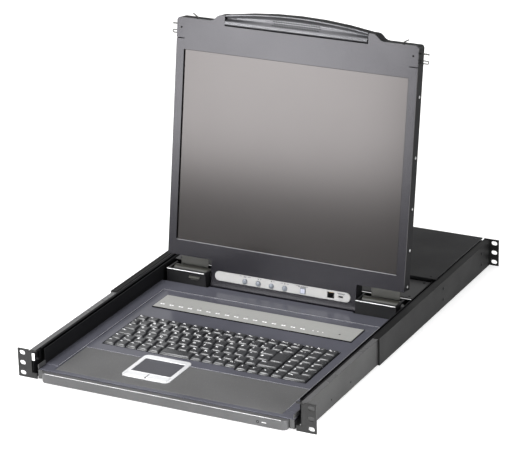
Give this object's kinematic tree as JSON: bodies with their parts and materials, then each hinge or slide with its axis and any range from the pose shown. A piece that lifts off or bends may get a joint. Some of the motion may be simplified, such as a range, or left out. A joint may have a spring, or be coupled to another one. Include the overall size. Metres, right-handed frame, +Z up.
{
  "type": "rack KVM console",
  "caption": "One-unit rack KVM console: sliding drawer with keyboard and touchpad, flip-up screen, telescopic side rails and a switch housing behind.",
  "frame": {"origin": "middle of the bounding box's base, at the lower edge of the rack ears, with the drawer pushed in and the screen open", "axes": "+X to the user's right, +Y towards the rear of the rack, +Z up"},
  "size_m": [0.48, 0.6924, 0.4476],
  "materials": {
    "rail_paint": "satin black-grey powder coat on steel sheet",
    "chassis_paint": "fine-textured black paint on steel sheet",
    "slide_steel": "zinc-plated cold-rolled steel",
    "deck_paint": "satin dark slate paint",
    "palm_paint": "fine leather-grain moulded plastic",
    "key_plastic": "matte moulded keycaps",
    "silver_panel": "satin silver film on aluminium",
    "touch_silver": "silver-painted smooth plastic",
    "touch_pad": "very fine matte film",
    "bezel_paint": "fine-textured slate plastic",
    "screen_glass": "dark screen behind glass, switched off",
    "handle_plastic": "semi-gloss dark grey plastic",
    "button_metal": "metallic blue-grey lacquer",
    "hinge_black": "black paint on folded steel",
    "spring_steel": "bright spring steel",
    "board_green": "green solder mask",
    "port_plastic": "black moulded plastic"
  },
  "bodies": {
    "rack_frame": {"left_mount_bracket": "rail_paint", "right_mount_bracket": "rail_paint", "left_rail": "rail_paint", "right_rail": "rail_paint", "housing_pan": "chassis_paint", "housing_cover": "chassis_paint", "port_bank": "port_plastic", "power_inlet": "port_plastic", "switch_board": "board_green", "power_supply": "slide_steel"},
    "left_depth_bracket": {"left_rear_bracket": "rail_paint"},
    "right_depth_bracket": {"right_rear_bracket": "rail_paint"},
    "left_slide_member": {"left_mid_slide": "slide_steel"},
    "right_slide_member": {"right_mid_slide": "slide_steel"},
    "power_switch": {"power_rocker": "port_plastic"},
    "drawer": {"drawer_pan": "chassis_paint", "left_side_wall": "rail_paint", "right_side_wall": "rail_paint", "front_lip": "deck_paint", "deck": "deck_paint", "palm_rest": "palm_paint", "touchpad_frame": "touch_silver", "touchpad": "touch_pad", "port_panel": "silver_panel", "keyboard_base": "chassis_paint", "drawer_rear_cover": "rail_paint", "left_hinge_block": "hinge_black", "right_hinge_block": "hinge_black", "left_hinge_pin": "slide_steel", "right_hinge_pin": "slide_steel", "left_inner_slide": "slide_steel", "right_inner_slide": "slide_steel"},
    "screen": {"screen_bezel": "bezel_paint", "screen_rear_cover": "chassis_paint", "lcd_panel": "screen_glass", "screen_handle": "handle_plastic", "control_strip": "silver_panel", "driver_board": "board_green", "left_hinge_arm": "hinge_black", "right_hinge_arm": "hinge_black"},
    "left_touch_button": {"left_touch_button": "touch_silver"},
    "right_touch_button": {"right_touch_button": "touch_silver"},
    "reset_button": {"reset_button": "key_plastic"},
    "screen_power_button": {"screen_power_button": "button_metal"},
    "mode_switch": {"mode_switch": "port_plastic"},
    "left_latch": {"left_screen_latch": "spring_steel"},
    "right_latch": {"right_screen_latch": "spring_steel"},
    "function_keys": {"function_keys": "key_plastic"},
    "number_keys": {"number_keys": "key_plastic"},
    "top_letter_keys": {"top_letter_keys": "key_plastic"},
    "home_letter_keys": {"home_letter_keys": "key_plastic"},
    "lower_letter_keys": {"lower_letter_keys": "key_plastic"},
    "left_control_keys": {"left_control_keys": "key_plastic"},
    "space_bar": {"space_bar": "key_plastic"},
    "right_control_keys": {"right_control_keys": "key_plastic"},
    "numeric_keys": {"numeric_keys": "key_plastic"},
    "menu_button_1": {"menu_button_1": "button_metal"},
    "menu_button_2": {"menu_button_2": "button_metal"},
    "menu_button_3": {"menu_button_3": "button_metal"},
    "menu_button_4": {"menu_button_4": "button_metal"}
  },
  "joints": [
    {"name": "drawer_slide", "type": "slide", "parent": "rack_frame", "child": "drawer", "axis": [0, -1, 0], "range_m": [0, 0.4]},
    {"name": "left_member_slide", "type": "slide", "parent": "rack_frame", "child": "left_slide_member", "axis": [0, -1, 0], "range_m": [0, 0.2]},
    {"name": "right_member_slide", "type": "slide", "parent": "rack_frame", "child": "right_slide_member", "axis": [0, -1, 0], "range_m": [0, 0.2]},
    {"name": "screen_hinge", "type": "hinge", "parent": "drawer", "child": "screen", "pos_m": [0, 0.05485, 0.031], "axis": [1, 0, 0], "range_deg": [-20, 98.68]},
    {"name": "left_depth_slide", "type": "slide", "parent": "rack_frame", "child": "left_depth_bracket", "axis": [0, 1, 0], "range_m": [0, 0.18]},
    {"name": "right_depth_slide", "type": "slide", "parent": "rack_frame", "child": "right_depth_bracket", "axis": [0, 1, 0], "range_m": [0, 0.18]},
    {"name": "power_switch_tilt", "type": "hinge", "parent": "rack_frame", "child": "power_switch", "pos_m": [0.145, 0.33915, 0.021], "axis": [1, 0, 0], "range_deg": [0, 12]},
    {"name": "function_key_press", "type": "slide", "parent": "drawer", "child": "function_keys", "axis": [0, 0, -1], "range_m": [0, 0.0022], "stiffness_N_per_m": 400, "springref_m": -0.002},
    {"name": "number_key_press", "type": "slide", "parent": "drawer", "child": "number_keys", "axis": [0, 0, -1], "range_m": [0, 0.0022], "stiffness_N_per_m": 400, "springref_m": -0.002},
    {"name": "top_letter_key_press", "type": "slide", "parent": "drawer", "child": "top_letter_keys", "axis": [0, 0, -1], "range_m": [0, 0.0022], "stiffness_N_per_m": 400, "springref_m": -0.002},
    {"name": "home_letter_key_press", "type": "slide", "parent": "drawer", "child": "home_letter_keys", "axis": [0, 0, -1], "range_m": [0, 0.0022], "stiffness_N_per_m": 400, "springref_m": -0.002},
    {"name": "lower_letter_key_press", "type": "slide", "parent": "drawer", "child": "lower_letter_keys", "axis": [0, 0, -1], "range_m": [0, 0.0022], "stiffness_N_per_m": 400, "springref_m": -0.002},
    {"name": "left_control_key_press", "type": "slide", "parent": "drawer", "child": "left_control_keys", "axis": [0, 0, -1], "range_m": [0, 0.0022], "stiffness_N_per_m": 400, "springref_m": -0.002},
    {"name": "space_bar_press", "type": "slide", "parent": "drawer", "child": "space_bar", "axis": [0, 0, -1], "range_m": [0, 0.0022], "stiffness_N_per_m": 400, "springref_m": -0.002},
    {"name": "right_control_key_press", "type": "slide", "parent": "drawer", "child": "right_control_keys", "axis": [0, 0, -1], "range_m": [0, 0.0022], "stiffness_N_per_m": 400, "springref_m": -0.002},
    {"name": "numeric_key_press", "type": "slide", "parent": "drawer", "child": "numeric_keys", "axis": [0, 0, -1], "range_m": [0, 0.0022], "stiffness_N_per_m": 400, "springref_m": -0.002},
    {"name": "left_touch_button_press", "type": "slide", "parent": "drawer", "child": "left_touch_button", "axis": [0, 0, -1], "range_m": [0, 0.0008], "stiffness_N_per_m": 800, "springref_m": -0.0008},
    {"name": "right_touch_button_press", "type": "slide", "parent": "drawer", "child": "right_touch_button", "axis": [0, 0, -1], "range_m": [0, 0.0008], "stiffness_N_per_m": 800, "springref_m": -0.0008},
    {"name": "reset_button_press", "type": "slide", "parent": "drawer", "child": "reset_button", "axis": [0, 0, -1], "range_m": [0, 0.0008], "stiffness_N_per_m": 300, "springref_m": -0.0008},
    {"name": "menu_button_1_press", "type": "slide", "parent": "screen", "child": "menu_button_1", "axis": [0, 0.9885, -0.1509], "range_m": [0, 0.001], "stiffness_N_per_m": 600, "springref_m": -0.001},
    {"name": "menu_button_2_press", "type": "slide", "parent": "screen", "child": "menu_button_2", "axis": [0, 0.9885, -0.1509], "range_m": [0, 0.001], "stiffness_N_per_m": 600, "springref_m": -0.001},
    {"name": "menu_button_3_press", "type": "slide", "parent": "screen", "child": "menu_button_3", "axis": [0, 0.9885, -0.1509], "range_m": [0, 0.001], "stiffness_N_per_m": 600, "springref_m": -0.001},
    {"name": "menu_button_4_press", "type": "slide", "parent": "screen", "child": "menu_button_4", "axis": [0, 0.9885, -0.1509], "range_m": [0, 0.001], "stiffness_N_per_m": 600, "springref_m": -0.001},
    {"name": "screen_power_button_press", "type": "slide", "parent": "screen", "child": "screen_power_button", "axis": [0, 0.9885, -0.1509], "range_m": [0, 0.001], "stiffness_N_per_m": 600, "springref_m": -0.001},
    {"name": "mode_switch_slide", "type": "slide", "parent": "screen", "child": "mode_switch", "axis": [1, 0, 0], "range_m": [-0.002, 0.002]},
    {"name": "left_latch_press", "type": "slide", "parent": "screen", "child": "left_latch", "axis": [1, 0, 0], "range_m": [0, 0.012], "stiffness_N_per_m": 150, "springref_m": -0.01},
    {"name": "right_latch_press", "type": "slide", "parent": "screen", "child": "right_latch", "axis": [-1, 0, 0], "range_m": [0, 0.012], "stiffness_N_per_m": 150, "springref_m": -0.01}
  ],
  "couplings": [
    {"joint": "left_member_slide", "follows": "drawer_slide", "ratio": 0.5},
    {"joint": "right_member_slide", "follows": "drawer_slide", "ratio": 0.5}
  ]
}
